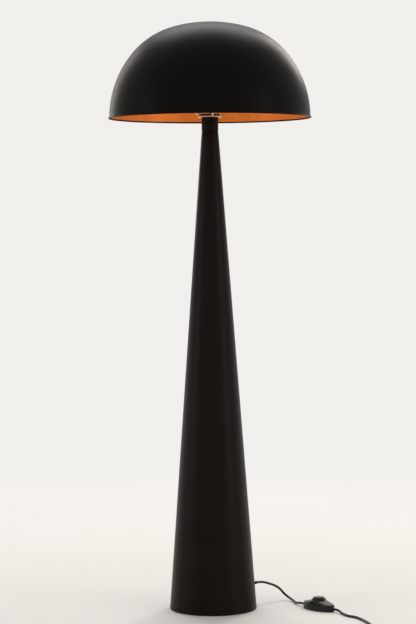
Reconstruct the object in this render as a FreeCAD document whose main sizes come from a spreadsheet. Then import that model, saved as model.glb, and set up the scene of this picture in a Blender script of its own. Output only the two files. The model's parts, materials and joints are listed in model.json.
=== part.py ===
import FreeCAD, Part
import math
import os
import Sketcher

# Mushroom floor lamp, millimetres. Origin: centre of the base on the floor, +Z up, the
# side that is usually looked at faces -Y.

os.makedirs("parts", exist_ok=True)
doc = FreeCAD.newDocument("mushroom_floor_lamp")
V = FreeCAD.Vector
UP = V(0, 0, 1)

# Driving dimensions: name, value, what it is.
DIMENSIONS = [
    # shade
    ("shade_diameter", 500, "shade over its rolled rim"),
    ("rim_drop", 3, "underside of the shade's rim below the carrier ring"),
    ("hem_radius", 1.8, "rolled rim, half thickness"),
    ("hem_proud", 2.6, "rim stands out of the dome by this much"),
    ("side_angle", 39, "dome: end of the side arc above the rim plane, degrees"),
    ("shoulder_radius", 198, "dome: outer radius of the shoulder arc"),
    ("shoulder_angle", 74.5, "dome: end of the shoulder arc, degrees"),
    ("shade_wall", 1.0, "sheet of the dome"),
    ("lining_gap", 0.3, "between dome and lining"),
    ("lining_wall", 0.5, "copper coloured lining"),
    # column
    ("column_base_diameter", 215.4, "cone at its lower edge"),
    ("column_top_diameter", 41.6, "cone at its upper edge"),
    ("column_top_height", 1179, "upper edge of the cone above the floor"),
    ("floor_gap", 2, "lower edge of the cone above the floor, and foot thickness"),
    ("column_wall", 1.2, "rolled sheet of the cone"),
    ("cap_thickness", 3, "disc welded in the top of the cone"),
    # base
    ("plate_thickness", 3, "base plate"),
    ("plate_clearance", 0.4, "base plate to cone, all round"),
    ("weight_clearance", 5.3, "counterweight to the weld lugs"),
    ("weight_height", 24, "cast counterweight"),
    ("weight_bore", 30, "hole through the counterweight"),
    ("weight_screw_inset", 30, "counterweight screws from the counterweight's edge"),
    ("weight_screw_diameter", 6, "counterweight screws"),
    ("weight_screw_length", 18, "counterweight screws, whole"),
    ("foot_diameter", 22, "foot pads"),
    ("foot_inset", 21.9, "middles of the foot pads from the edge of the base plate"),
    ("lug_width", 16, "weld lugs in the cone"),
    ("lug_depth", 11, "weld lugs, radial"),
    ("lug_height", 10, "weld lugs"),
    ("lug_inset", 6.5, "screw in a lug, from the wall"),
    ("lug_screw_diameter", 4, "screws that hold the base plate"),
    ("screw_clearance", 0.15, "screws in their holes, all round"),
    ("screw_room", 1, "blind holes beyond their screws"),
    # cord and gland
    ("cord_diameter", 6, "mains cord"),
    ("gland_height", 50, "cord outlet above the floor"),
    ("gland_azimuth", 30, "cord outlet, degrees from +X towards +Y"),
    ("gland_flange_diameter", 13, "gland, outer flange"),
    ("gland_flange", 2, "gland, flange thickness"),
    ("gland_shank_diameter", 10, "gland, part through the wall"),
    ("gland_shank", 9, "gland, length inside the wall"),
    ("gland_snout", 20, "gland, tapered sleeve"),
    ("gland_snout_diameter", 7.6, "gland, sleeve at its tip"),
    ("gland_nut_width", 14, "gland nut across flats"),
    ("gland_nut", 4, "gland nut thickness"),
    ("wall_sag", 0.35, "gland and nut from the middle of the curved wall"),
    ("bore_clearance", 0.1, "cord in the bores that it passes, all round"),
    ("cable_straight", 6, "inner cable, straight beyond the gland"),
    ("cable_drop", 12, "inner cable, middle of its last bend below the gland"),
    ("cable_bend", 45, "inner cable, radius of its last bend"),
    ("cable_above", 1, "inner cable, end above the threaded tube"),
    ("coil_radius", 43, "put-away coil, outermost turn, middle of the cord"),
    ("coil_pitch", 6.5, "between turns and between layers of the coil"),
    ("coil_turns", 5.25, "turns of the coil"),
    ("coil_x", 336, "middle of the coil"),
    ("coil_y", -324, "middle of the coil"),
    # neck
    ("spacer_thickness", 2.5, "black seam ring between cone and socket cover"),
    ("spacer_diameter", 39, "seam ring"),
    ("cover_diameter", 41.5, "socket cover"),
    ("cover_height", 35.3, "socket cover"),
    ("cover_wall", 1, "socket cover, side"),
    ("cover_floor", 1.5, "socket cover, floor"),
    ("nipple_diameter", 10, "threaded tube"),
    ("nipple_bore", 7, "threaded tube"),
    ("nipple_below", 14, "threaded tube below the cap"),
    ("nipple_above", 2, "threaded tube inside the lampholder"),
    ("nipple_clearance", 0.1, "threaded tube in plain holes, all round"),
    ("nut_width", 14, "nuts on the threaded tube, across flats"),
    ("nut_height", 4, "nuts on the threaded tube"),
    ("washer_diameter", 17, "toothed washer"),
    ("washer_thickness", 1, "toothed washer"),
    # lampholder
    ("holder_diameter", 38, "lampholder"),
    ("holder_cap_height", 20, "lampholder, lower half"),
    ("holder_shell_height", 37, "lampholder, upper half"),
    ("holder_wall", 1.8, "lampholder, side"),
    ("holder_floor", 2, "lampholder, floor"),
    ("holder_taper", 6, "lampholder, foot slimmer than the rest, all round"),
    ("holder_taper_height", 7, "lampholder, tapered foot"),
    ("insert_height", 7, "insulating insert"),
    ("insert_inset", 1, "insulating insert below the split"),
    ("insert_clearance", 0.2, "insert in the lampholder, all round"),
    ("contact_diameter", 10, "centre contact, head"),
    ("contact_height", 2, "centre contact, head"),
    ("contact_tail_diameter", 4, "centre contact, tail through the insert"),
    ("contact_tail", 1.5, "centre contact, tail below the insert"),
    ("cap_shell_bore", 26.9, "screw shell, inside"),
    ("cap_shell_wall", 0.5, "screw shell"),
    ("cap_shell_height", 27, "screw shell"),
    ("cap_shell_flange", 5, "screw shell, inward flange at its foot"),
    ("terminal_width", 6, "brass terminals"),
    ("terminal_height", 7.5, "brass terminals"),
    ("terminal_spacing", 18, "between the middles of the brass terminals"),
    ("terminal_screw_diameter", 2.6, "terminal screws"),
    ("terminal_screw_proud", 0.5, "terminal screws stand out of the terminals"),
    ("core_diameter", 2.2, "insulated cores of the cord"),
    ("core_gap", 0.4, "between the cores of the cord"),
    ("core_straight", 0.5, "straight ends of the cores"),
    # carrier
    ("ring_diameter", 60, "carrier ring"),
    ("ring_thickness", 2.5, "carrier ring"),
    ("ring_clearance", 0.2, "rings on the lampholder, all round"),
    ("clamp_ring_diameter", 49, "black ring between carrier ring and threaded ring"),
    ("clamp_ring_height", 5.5, "black ring between carrier ring and threaded ring"),
    ("lock_ring_diameter", 48, "threaded ring that clamps the carrier"),
    ("lock_ring_height", 9.5, "threaded ring, whole"),
    ("lock_flange_diameter", 53, "threaded ring, flange at its foot"),
    ("lock_flange", 2.5, "threaded ring, flange at its foot"),
    ("arm_diameter", 4.5, "carrier arms"),
    ("arm_angle", 56.5, "carrier arms above the horizontal, degrees"),
    ("arm_azimuth", -77.5, "first carrier arm, degrees from +X"),
    ("arm_lift", 0.05, "foot of an arm above the flange"),
    ("pad_diameter", 12, "rubber pads on the arms"),
    ("pad_thickness", 4, "rubber pads on the arms"),
    ("seat_gap", 0.45, "pad to lining at the middle of the pad"),
    # bulb
    ("bulb_diameter", 60, "bulb"),
    ("bulb_height", 106, "bulb from its contact to its top"),
    ("bulb_cap_diameter", 26.2, "screw cap"),
    ("bulb_cap_height", 22, "screw cap"),
    ("bulb_cap_foot", 14, "screw cap, flat end"),
    ("bulb_cap_taper", 5, "screw cap, tapered end"),
    ("bulb_contact", 2.2, "contact button below the screw cap"),
    ("bulb_contact_tip", 8, "contact button, flat end"),
    ("bulb_contact_root", 11, "contact button at the screw cap"),
    ("bulb_seat", 0.1, "contact button above the centre contact"),
    ("bulb_collar_height", 18, "collar between cap and glass"),
    ("bulb_collar_diameter", 34, "collar between cap and glass"),
    ("bulb_step", 0.5, "steps between cap, collar and glass"),
    ("globe_angle", 40, "neck of the glass meets its ball, below the middle, degrees"),
    # foot switch
    ("switch_length", 96, "foot switch"),
    ("switch_width", 47, "foot switch"),
    ("switch_split", 8, "base and cover meet, and cord height in the switch"),
    ("switch_foot_rise", 3, "tapered foot of the base, height"),
    ("switch_foot_inset", 1.5, "tapered foot of the base, narrower, all round"),
    ("switch_brim", 5.5, "upright edge of the cover"),
    ("switch_shoulder", 3.5, "rounded shoulder above the upright edge, height"),
    ("switch_shoulder_inset", 2.5, "rounded shoulder, narrower at its top, all round"),
    ("switch_collar_height", 27.5, "top of the cover"),
    ("switch_collar_diameter", 35, "collar round the button"),
    ("switch_collar_rise", 3.5, "collar round the button, height"),
    ("switch_flare", 2.5, "slope wider than the collar where they meet, all round"),
    ("switch_flare_rise", 1, "slope meets the collar in this height"),
    ("switch_wall", 2, "base and cover"),
    ("switch_x", 261, "middle of the switch"),
    ("switch_y", -29, "middle of the switch"),
    ("switch_turn", -46.5, "length of the switch, degrees from +X"),
    ("button_diameter", 27, "foot button"),
    ("button_rise", 5, "foot button above the cover"),
    ("button_travel", 3.5, "foot button"),
    ("button_clearance", 0.4, "foot button in the cover, all round"),
    ("button_flange", 1.5, "edge that keeps the button in, thickness"),
    ("button_lip", 1.4, "edge that keeps the button in, width"),
    ("button_crown", 1.2, "slight crown of the button, its rise"),
    ("button_head", 3, "foot button above its spring"),
    ("contact_thickness", 0.8, "contact bridge and blades"),
    ("contact_width", 5, "contact blades"),
    ("bridge_inset", 0.5, "contact bridge narrower than the button's edge"),
    ("blade_inset", 0.2, "contact blades inside the button's outline"),
    ("block_height", 7, "terminal blocks of the blades"),
    ("block_screw_depth", 3, "screws in the terminal blocks"),
    ("block_screw_proud", 0.6, "screws stand out of the terminal blocks"),
    ("stem_diameter", 8, "stem under the button"),
    ("stem_room", 1, "under the stem when it is pressed"),
    ("spring_diameter", 13, "button spring, middle of the wire"),
    ("spring_wire", 0.9, "button spring"),
    ("spring_turns", 5, "button spring"),
    ("spring_play", 0.05, "button spring to its seats"),
    ("seat_height", 2, "spring seat above the split"),
    ("seat_margin", 1, "spring seat wider than the spring, all round"),
    ("grommet_diameter", 9.4, "rubber grommets of the switch"),
    ("grommet_proud", 3, "grommets stand out of the switch"),
    ("grommet_reach", 5, "grommets inside the switch"),
    ("grommet_collar", 0.5, "grommets, full width outside the switch"),
    ("grommet_lip", 0.8, "grommets, wall at their tip"),
    ("sheath_inside", 4, "cord sheath beyond the grommets"),
    ("post_diameter", 6.5, "screw posts in the switch"),
    ("post_x", 26, "screw posts from the middle, along the switch"),
    ("post_y", 12, "screw posts from the middle, across the switch"),
    ("screw_head_depth", 1.8, "recess of the switch screws' heads"),
    ("screw_sunk", 0.3, "heads of the switch screws below the base"),
    ("switch_screw_diameter", 3, "screws of the switch"),
    ("switch_screw_head", 5.6, "screws of the switch, heads"),
    # plug
    ("plug_length", 33, "plug body"),
    ("plug_width", 35.3, "plug body"),
    ("plug_height", 13.7, "plug body"),
    ("plug_neck", 17, "plug body at its cord end, width"),
    ("plug_edge", 3, "rounding of the plug's edges"),
    ("pin_spacing", 18.6, "between the plug pins"),
    ("pin_diameter", 4, "plug pins"),
    ("pin_length", 19, "plug pins, outside"),
    ("pin_root", 8, "plug pins, inside"),
    ("pin_neck", 0.3, "plug pins, root slimmer than the pin, all round"),
    ("pin_nose", 1, "bevel of the plug pins"),
    ("plug_widest", 15, "plug body is full width from here to the pins"),
    ("plug_grip", 24, "tapered sleeve of the plug"),
    ("plug_grip_diameter", 10.5, "tapered sleeve at the plug"),
    ("plug_tip_diameter", 7.6, "tapered sleeve at the cord"),
    ("plug_x", 244, "cord end of the plug body"),
    ("plug_y", -352, "cord end of the plug body"),
    ("plug_turn", 172, "pins point this way, degrees from +X"),
]

sheet = doc.addObject("Spreadsheet::Sheet", "sizes")
for row, (alias, value, meaning) in enumerate(DIMENSIONS, start=1):
    sheet.set(f"A{row}", alias)
    sheet.set(f"B{row}", str(value))
    sheet.set(f"C{row}", meaning)
    sheet.setAlias(f"B{row}", alias)
doc.recompute()


class Size:
    """A length or an angle: its number, and the formula of sheet cells that it comes from."""

    def __init__(self, value, formula):
        self.value = float(value)
        self.formula = formula

    def joined(self, other, sign, value):
        return Size(value, f"({self.formula} {sign} {formula_of(other)})")

    def __add__(self, other):
        return self.joined(other, "+", self.value + number(other))

    def __sub__(self, other):
        return self.joined(other, "-", self.value - number(other))

    def __mul__(self, other):
        return self.joined(other, "*", self.value * number(other))

    def __truediv__(self, other):
        return self.joined(other, "/", self.value / number(other))

    def __radd__(self, other):
        return as_size(other) + self

    def __rsub__(self, other):
        return as_size(other) - self

    def __rmul__(self, other):
        return as_size(other) * self

    def __neg__(self):
        return as_size(0) - self


def number(size):
    return size.value if isinstance(size, Size) else float(size)


def formula_of(size):
    return size.formula if isinstance(size, Size) else repr(float(size))


def as_size(size):
    return size if isinstance(size, Size) else Size(size, repr(float(size)))


def cosine(angle):
    return Size(math.cos(math.radians(number(angle))), f"cos({formula_of(angle)})")


def sine(angle):
    return Size(math.sin(math.radians(number(angle))), f"sin({formula_of(angle)})")


def root(size):
    return Size(math.sqrt(number(size)), f"sqrt({formula_of(size)})")


class Sheet:
    """The driving dimensions by name, read back from the spreadsheet."""

    def __getattr__(self, alias):
        return Size(float(sheet.get(alias)), f"sizes.{alias}")


S = Sheet()
SIDES = (-1, 1)
parts = []


# ---------------------------------------------------------------- small tools


def bind(thing, prop, size):
    """Ties a property to the sheet."""
    thing.setExpression(prop, formula_of(size))


def sub_part(thing, node, position=None, turn=None):
    """Names a finished sub-part and puts it where it belongs."""
    thing.Label = node
    if position is not None or turn is not None:
        thing.Placement = FreeCAD.Placement(position or V(), turn or FreeCAD.Rotation())
    parts.append(thing)
    return thing


def sketch_in(body, role, height=None):
    """A sketch on one of the body's own origin planes, raised along the plane's normal."""
    sketch = body.newObject("Sketcher::SketchObject", "profile")
    plane = [feature for feature in body.Origin.OriginFeatures if feature.Role == role][0]
    sketch.AttachmentSupport = (plane, [""])
    sketch.MapMode = "FlatFace"
    if height is not None:
        bind(sketch, "AttachmentOffset.Base.z", height)
    return sketch


def fix_point(sketch, geometry, place, x, y):
    """Ties a point of the sketch to its coordinates in the sheet."""
    for kind, size, axis in (("DistanceX", x, -2), ("DistanceY", y, -1)):
        if number(size) == 0:
            sketch.addConstraint(Sketcher.Constraint("PointOnObject", geometry, place, axis))
        else:
            constraint = Sketcher.Constraint(kind, -1, 1, geometry, place, number(size))
            bind(sketch, f"Constraints[{sketch.addConstraint(constraint)}]", size)


def arc_between(start, end, radius, side):
    """The arc under a half circle from start to end, its centre left (1) or right (-1)."""
    chord = end - start
    middle = (start + end) * 0.5
    reach = math.sqrt(radius**2 - (chord.Length / 2) ** 2)
    centre = middle + V(-chord.y, chord.x, 0).normalize() * (reach * side)
    first, last = (start, end) if side > 0 else (end, start)
    angles = [math.atan2(p.y - centre.y, p.x - centre.x) for p in (first, last)]
    return Part.ArcOfCircle(Part.Circle(centre, UP, radius), *angles)


def draw(sketch, points, arcs=None):
    """A closed outline through the points. arcs: number of a side, its radius and side."""
    arcs = arcs or {}
    flat = [V(number(x), number(y), 0) for x, y in points]
    begins = []
    ends = []
    for i, start in enumerate(flat):
        end = flat[(i + 1) % len(flat)]
        if i in arcs:
            radius, side = arcs[i]
            sketch.addGeometry(arc_between(start, end, number(radius), side), False)
            begins.append(1 if side > 0 else 2)
            ends.append(2 if side > 0 else 1)
        else:
            sketch.addGeometry(Part.LineSegment(start, end), False)
            begins.append(1)
            ends.append(2)
    for i in range(len(flat)):
        after = (i + 1) % len(flat)
        sketch.addConstraint(Sketcher.Constraint("Coincident", i, ends[i], after, begins[after]))
    for i, (x, y) in enumerate(points):
        fix_point(sketch, i, begins[i], x, y)
    for i, (radius, _) in arcs.items():
        constraint = Sketcher.Constraint("Radius", i, number(radius))
        bind(sketch, f"Constraints[{sketch.addConstraint(constraint)}]", radius)


def draw_circle(sketch, radius, x=0, y=0):
    centre = V(number(x), number(y), 0)
    circle = sketch.addGeometry(Part.Circle(centre, UP, number(radius)), False)
    constraint = Sketcher.Constraint("Radius", circle, number(radius))
    bind(sketch, f"Constraints[{sketch.addConstraint(constraint)}]", radius)
    fix_point(sketch, circle, 3, x, y)


def new_body(name):
    return doc.addObject("PartDesign::Body", name)


def turned(name, points, arcs=None):
    """A body turned about its Z axis. points: radius and height."""
    body = new_body(name)
    sketch = sketch_in(body, "XZ_Plane")
    draw(sketch, points, arcs)
    revolution = body.newObject("PartDesign::Revolution", "turned")
    revolution.Profile = sketch
    revolution.ReferenceAxis = (sketch, ["V_Axis"])
    revolution.Angle = 360
    sketch.Visibility = False
    return body


def ring(name, inner, outer, bottom, top):
    """A body turned from a plain rectangle: a disc, ring or sleeve."""
    return turned(name, [(inner, bottom), (outer, bottom), (outer, top), (inner, top)])


def padded(body, sketch, length):
    pad = body.newObject("PartDesign::Pad", "pad")
    pad.Profile = sketch
    bind(pad, "Length", length)
    return pad


def hexagon_nut(name, width, bore, height, bottom):
    """A nut: a hexagon with a round bore, padded up from its bottom."""
    body = new_body(name)
    sketch = sketch_in(body, "XY_Plane", bottom)
    corner = width / (2 * cosine(30))
    sides = 6
    step = 360 / sides
    draw(sketch, [(corner * cosine(step * i + 1), corner * sine(step * i + 1)) for i in range(sides)])
    draw_circle(sketch, bore)
    padded(body, sketch, height)
    return body


def cylinder(radius, height, position=None, direction=UP):
    """A plain cylinder that stands on position and points along direction."""
    rod = doc.addObject("Part::Cylinder", "cylinder")
    bind(rod, "Radius", radius)
    bind(rod, "Height", height)
    rod.Placement = FreeCAD.Placement(position or V(), FreeCAD.Rotation(UP, direction))
    return rod


def box(length, width, height, corner):
    """A plain block from its lowest corner."""
    block = doc.addObject("Part::Box", "box")
    bind(block, "Length", length)
    bind(block, "Width", width)
    bind(block, "Height", height)
    block.Placement.Base = corner
    return block


def cut(base, *tools):
    for tool in tools:
        result = doc.addObject("Part::Cut", "cut")
        result.Base = base
        result.Tool = tool
        base = result
    return base


def fuse(base, *others):
    for other in others:
        result = doc.addObject("Part::Fuse", "fuse")
        result.Base = base
        result.Tool = other
        base = result
    return base


def common(base, tool):
    result = doc.addObject("Part::Common", "common")
    result.Base = base
    result.Tool = tool
    return result


def group(things):
    """Several separate solids in one sub-part."""
    result = doc.addObject("Part::Compound", "group")
    result.Links = things
    return result


def around(azimuth, radius, height):
    """A point at an azimuth, in degrees from +X, a radius and a height."""
    turn = math.radians(azimuth)
    return V(radius * math.cos(turn), radius * math.sin(turn), height)


def spin(azimuth):
    return FreeCAD.Rotation(UP, azimuth)


# ---------------------------------------------------------------- tubes


def sweep(name, edges, diameter):
    """A round tube along tangent edges; its volume is compared with section times length."""
    wire = Part.Wire(edges)
    start = edges[0].valueAt(edges[0].FirstParameter)
    heading = edges[0].tangentAt(edges[0].FirstParameter)
    radius = number(diameter) / 2
    section = Part.Wire([Part.makeCircle(radius, start, heading)])
    solid = wire.makePipeShell([section], True, False)
    wanted = math.pi * radius**2 * wire.Length
    print(f"{name}: length {wire.Length:.1f}, volume {solid.Volume / wanted:.4f} of section x length")
    thing = doc.addObject("Part::Feature", name)
    thing.Shape = solid
    return thing


ARC_SHARE = 0.45  # of the shorter run at a corner, taken by the corner's arc


def rounded_route(name, points):
    """Straight runs joined by tangent arcs, each as large as its two runs allow."""
    edges = []
    radii = []
    last = points[0]
    for before, here, after in zip(points, points[1:], points[2:]):
        back = (before - here).normalize()
        onward = (after - here).normalize()
        half = (math.pi - back.getAngle(onward)) / 2
        reach = ARC_SHARE * min((before - here).Length, (after - here).Length)
        radii.append(reach / math.tan(half))
        enter = here + back * reach
        leave = here + onward * reach
        inward = (back + onward).normalize()
        sag = here + inward * (radii[-1] / math.cos(half) - radii[-1])
        edges.append(Part.LineSegment(last, enter).toShape())
        edges.append(Part.Arc(enter, sag, leave).toShape())
        last = leave
    edges.append(Part.LineSegment(last, points[-1]).toShape())
    print(f"{name}: radii {', '.join(f'{r:.0f}' for r in radii)}")
    return edges


def arc_from(start, heading, end):
    """The arc that leaves start along heading and reaches end."""
    chord = end - start
    along = chord.dot(heading) / chord.Length
    across = heading - chord * (along / chord.Length)
    if across.Length < 1e-9:
        return Part.LineSegment(start, end).toShape()
    turn = math.acos(max(-1.0, min(1.0, along)))
    middle = (start + end) * 0.5 + across.normalize() * (chord.Length / 2 * math.tan(turn / 2))
    return Part.Arc(start, middle, end).toShape()


def biarc(start, heading, end, leaving):
    """Two tangent arcs between two points with given headings."""
    chord = end - start
    both = heading + leaving
    spread = 2 * (1 - heading.dot(leaving))
    slant = chord.dot(both)
    if spread < 1e-9:
        reach = chord.dot(chord) / (4 * chord.dot(leaving))
    else:
        reach = (math.sqrt(slant**2 + spread * chord.dot(chord)) - slant) / spread
    joint = (start + end + (heading - leaving) * reach) * 0.5
    first = arc_from(start, heading, joint)
    second = arc_from(end, leaving * -1, joint)
    return [first, second.reversed()]


def wound(place, turns, steps_per_turn):
    """Biarcs along a winding. place gives the point at a number of turns."""
    count = round(turns * steps_per_turn)
    tiny = 1e-4
    marks = [turns * i / count for i in range(count + 1)]
    spots = [place(mark) for mark in marks]
    headings = [(place(mark + tiny) - place(mark - tiny)).normalize() for mark in marks]
    edges = []
    for i in range(count):
        edges += biarc(spots[i], headings[i], spots[i + 1], headings[i + 1])
    return edges, spots, headings


def least_gap(edges, turns, diameter):
    """Least distance between neighbouring turns, surface to surface, measured on points."""
    per_turn = 60
    points = Part.Wire(edges).discretize(Number=int(turns * per_turn))
    least = min(
        (a - b).Length for i, a in enumerate(points) for b in points[i + per_turn // 3 :]
    )
    return least - diameter


# ---------------------------------------------------------------- column and base

column_slope = (S.column_base_diameter - S.column_top_diameter) / 2
column_slope = column_slope / (S.column_top_height - S.floor_gap)


def column_radius(height):
    """Outer radius of the cone at a height."""
    return S.column_base_diameter / 2 - column_slope * (height - S.floor_gap)


lean = math.degrees(math.atan(number(column_slope)))
gland_way = spin(number(S.gland_azimuth)).multVec(
    FreeCAD.Rotation(V(0, 1, 0), -lean).multVec(V(1, 0, 0))
)
gland_turn = FreeCAD.Rotation(UP, gland_way)
gland_seat = around(
    number(S.gland_azimuth), number(column_radius(S.gland_height)), number(S.gland_height)
)


def make_column():
    shell_top = S.column_top_height - S.cap_thickness
    cone = turned(
        "cone",
        [
            (column_radius(S.floor_gap) - S.column_wall, S.floor_gap),
            (column_radius(S.floor_gap), S.floor_gap),
            (column_radius(shell_top), shell_top),
            (column_radius(shell_top) - S.column_wall, shell_top),
        ],
    )
    hole_depth = 4 * S.column_wall
    hole = cylinder(
        S.gland_shank_diameter / 2 + S.screw_clearance,
        hole_depth,
        gland_seat - gland_way * (number(hole_depth) / 2),
        gland_way,
    )
    sub_part(cut(cone, hole), "column_shell")
    cap = turned(
        "cap",
        [
            (S.nipple_diameter / 2 + S.nipple_clearance, shell_top),
            (column_radius(shell_top), shell_top),
            (column_radius(S.column_top_height), S.column_top_height),
            (S.nipple_diameter / 2 + S.nipple_clearance, S.column_top_height),
        ],
    )
    sub_part(cap, "column_cap")


plate_top = S.floor_gap + S.plate_thickness
base_inside = column_radius(plate_top) - S.column_wall
plate_radius = base_inside - S.plate_clearance
weight_radius = base_inside - S.lug_depth - S.weight_clearance
lug_screw_circle = base_inside - S.lug_inset
BEYOND = 1  # what cuts or is trimmed reaches this far past the piece
SCREW_AZIMUTHS = (90, 210, 330)
FOOT_AZIMUTHS = (30, 120, 210, 300)
WEIGHT_SCREW_AZIMUTHS = (30, 150, 270)


def screw_holes(diameter, circle, azimuths, bottom, height):
    radius = diameter / 2 + S.screw_clearance
    return [
        cylinder(radius, height, around(azimuth, number(circle), number(bottom)))
        for azimuth in azimuths
    ]


# Countersunk heads as shares of the screw's diameter: radius and depth.
HEAD_RADIUS = 0.95
HEAD_DEPTH = 0.5


def countersunk_screws(diameter, circle, azimuths, bottom, length):
    """Screws driven from below, heads flush with the plate."""
    head = diameter * HEAD_DEPTH
    screws = []
    for azimuth in azimuths:
        screw = turned(
            "screw",
            [
                (0, 0),
                (diameter * HEAD_RADIUS, 0),
                (diameter / 2, head),
                (diameter / 2, length),
                (0, length),
            ],
        )
        screw.Placement.Base = around(azimuth, number(circle), number(bottom))
        screws.append(screw)
    return group(screws)


def countersinks(diameter, circle, azimuths, bottom):
    """Conical mouths for the screw heads."""
    head = diameter * HEAD_DEPTH
    cones = []
    for azimuth in azimuths:
        mouth = doc.addObject("Part::Cone", "mouth")
        bind(mouth, "Radius1", diameter * HEAD_RADIUS + S.screw_clearance)
        bind(mouth, "Radius2", diameter / 2 + S.screw_clearance)
        bind(mouth, "Height", head)
        mouth.Placement.Base = around(azimuth, number(circle), number(bottom))
        cones.append(mouth)
    return cones


def make_base():
    plate = ring("plate", S.weight_bore / 2, plate_radius, S.floor_gap, plate_top)
    weight_circle = weight_radius - S.weight_screw_inset
    weight_screws = (S.weight_screw_diameter, weight_circle, WEIGHT_SCREW_AZIMUTHS)
    lug_screws = (S.lug_screw_diameter, lug_screw_circle, SCREW_AZIMUTHS)
    plate_holes = []
    for kind in (weight_screws, lug_screws):
        plate_holes += screw_holes(*kind, S.floor_gap, S.plate_thickness)
        plate_holes += countersinks(*kind, S.floor_gap)
    sub_part(cut(plate, group(plate_holes)), "base_plate")

    weight_top = plate_top + S.weight_height
    weight = ring("weight", S.weight_bore / 2, weight_radius, plate_top, weight_top)
    blind = S.weight_screw_length - S.plate_thickness + S.screw_room
    weight_holes = screw_holes(*weight_screws, plate_top, blind)
    sub_part(cut(weight, group(weight_holes)), "counterweight")
    sub_part(
        countersunk_screws(*weight_screws, S.floor_gap, S.weight_screw_length),
        "counterweight_screws",
    )

    room = turned(
        "room",
        [
            (0, plate_top),
            (base_inside, plate_top),
            (column_radius(plate_top + S.lug_height) - S.column_wall, plate_top + S.lug_height),
            (0, plate_top + S.lug_height),
        ],
    )
    blocks = []
    inner = number(base_inside - S.lug_depth)
    for azimuth in SCREW_AZIMUTHS:
        block = box(S.lug_depth + BEYOND, S.lug_width, S.lug_height, V())
        block.Placement = FreeCAD.Placement(
            spin(azimuth).multVec(V(inner, -number(S.lug_width) / 2, number(plate_top))),
            spin(azimuth),
        )
        blocks.append(block)
    lugs = common(group(blocks), room)
    lug_holes = screw_holes(*lug_screws, plate_top, S.lug_height)
    sub_part(cut(lugs, group(lug_holes)), "base_lugs")
    sub_part(
        countersunk_screws(*lug_screws, S.floor_gap, S.plate_thickness + S.lug_height),
        "base_screws",
    )

    foot_circle = number(plate_radius - S.foot_inset)
    feet = [
        cylinder(S.foot_diameter / 2, S.floor_gap, around(azimuth, foot_circle, 0))
        for azimuth in FOOT_AZIMUTHS
    ]
    sub_part(group(feet), "foot_pads")


# ---------------------------------------------------------------- cord, gland and inner cable

cord_radius = S.cord_diameter / 2
cord_bore = cord_radius + S.bore_clearance


def make_gland():
    """Built along +Z from the wall's outer face, then turned to the wall."""
    gland = turned(
        "gland",
        [
            (cord_bore, -S.gland_shank),
            (S.gland_shank_diameter / 2, -S.gland_shank),
            (S.gland_shank_diameter / 2, 0),
            (S.gland_flange_diameter / 2, 0),
            (S.gland_flange_diameter / 2, S.gland_flange),
            (S.gland_shank_diameter / 2, S.gland_flange),
            (S.gland_snout_diameter / 2, S.gland_flange + S.gland_snout),
            (cord_bore, S.gland_flange + S.gland_snout),
        ],
    )
    seat = gland_seat + gland_way * number(S.wall_sag)
    sub_part(gland, "cable_gland", seat, gland_turn)
    nut = hexagon_nut(
        "nut",
        S.gland_nut_width,
        S.gland_shank_diameter / 2 + S.bore_clearance,
        S.gland_nut,
        -(S.column_wall + S.gland_nut),
    )
    sub_part(nut, "gland_nut", gland_seat - gland_way * number(S.wall_sag), gland_turn)


def gland_point(distance):
    """A point on the gland's axis, outwards from the wall."""
    return gland_seat + gland_way * distance


# Points of the cord, chosen by hand. Its ends run straight out of what they leave.
CORD_FLOOR = 3.2
STRAIGHT_OUT = 14
LEAD_ROUTE = [
    (142, 84, 45),
    (165, 96, 34),
    (180, 96, 16),
    (196, 84, 5.3),
    (205, 63, CORD_FLOOR),
    (206, 43, CORD_FLOOR),
]
RUN_ROUTE = [
    (313, -91, CORD_FLOOR),
    (322, -116, CORD_FLOOR),
    (329, -128, CORD_FLOOR),
    (344, -140, CORD_FLOOR),
    (351, -155, CORD_FLOOR),
    (362, -184, CORD_FLOOR),
    (370, -216, CORD_FLOOR),
    (377, -255, CORD_FLOOR),
    (380, -285, CORD_FLOOR),
]
TAIL_ROUTE = [
    (300, -366, 5.5),
]

coil_middle = V(number(S.coil_x), number(S.coil_y), 0)


def coil_point(turn):
    """The winding: in along the floor, up in the half turn where it reverses, out on top."""
    pitch = number(S.coil_pitch)
    middle = number(S.coil_turns) / 2
    climb = min(max(2 * (turn - middle) + 0.5, 0.0), 1.0)
    radius = number(S.coil_radius) - pitch * (middle - abs(turn - middle))
    height = CORD_FLOOR + pitch * (1 - math.cos(math.pi * climb)) / 2
    return coil_middle + around(-360 * turn, radius, height)


switch_middle = V(number(S.switch_x), number(S.switch_y), 0)
switch_spin = spin(number(S.switch_turn))


def in_switch(x, y, z):
    """A point of the switch's own frame, +X along its length towards the plug."""
    return switch_middle + switch_spin.multVec(V(x, y, z))


switch_mouth = S.switch_length / 2 + S.grommet_proud
plug_spin = spin(number(S.plug_turn))
plug_middle = V(number(S.plug_x), number(S.plug_y), number(S.plug_height) / 2)


def in_plug(x, y, z):
    """A point of the plug's own frame, +X towards the pins, from the body's cord end."""
    return plug_middle + plug_spin.multVec(V(x, y, z))


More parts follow.
